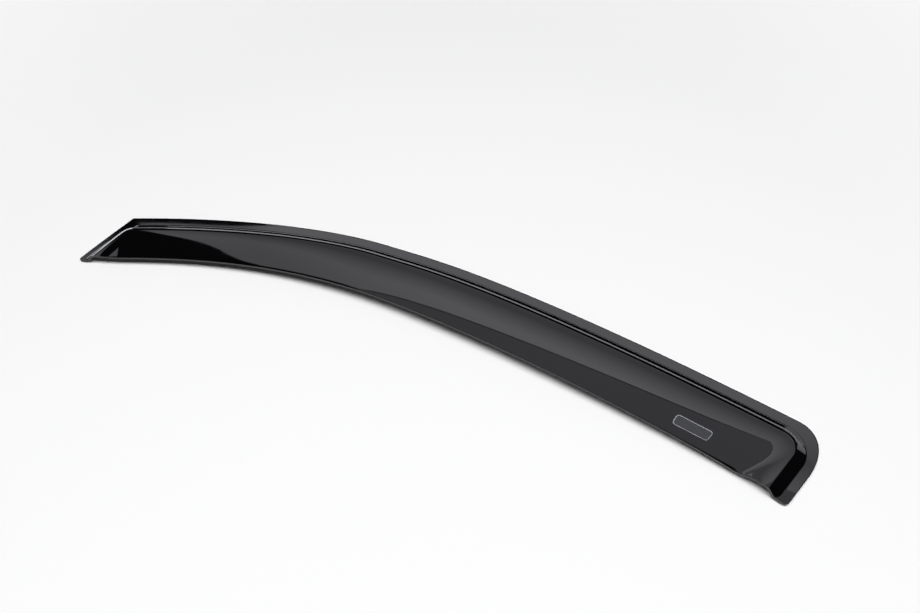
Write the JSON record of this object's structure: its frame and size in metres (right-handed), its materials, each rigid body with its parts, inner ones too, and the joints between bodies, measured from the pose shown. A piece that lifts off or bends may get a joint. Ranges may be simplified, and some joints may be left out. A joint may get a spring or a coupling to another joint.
{
  "type": "window rain deflector",
  "caption": "Stick-on wind and rain deflector for a front door's side window: a long curved shell of dark acrylic with a stepped, taped flange and a free lower edge",
  "frame": {"origin": "Middle of the part's length and width, on the plane that its lowest point touches", "axes": "+X runs from the front tip to the rear edge, +Y up the window to the top edge, +Z outward from the door, the flange's taped side facing down"},
  "size_m": [0.8174, 0.143, 0.0248],
  "materials": {
    "smoked_acrylic": "polished, very dark smoke",
    "foam_tape": "matte foam with adhesive on both sides"
  },
  "bodies": {
    "root": {"visor_shell": "smoked_acrylic", "tape_front": "foam_tape", "tape_top": "foam_tape", "tape_rear": "foam_tape"}
  },
  "joints": []
}
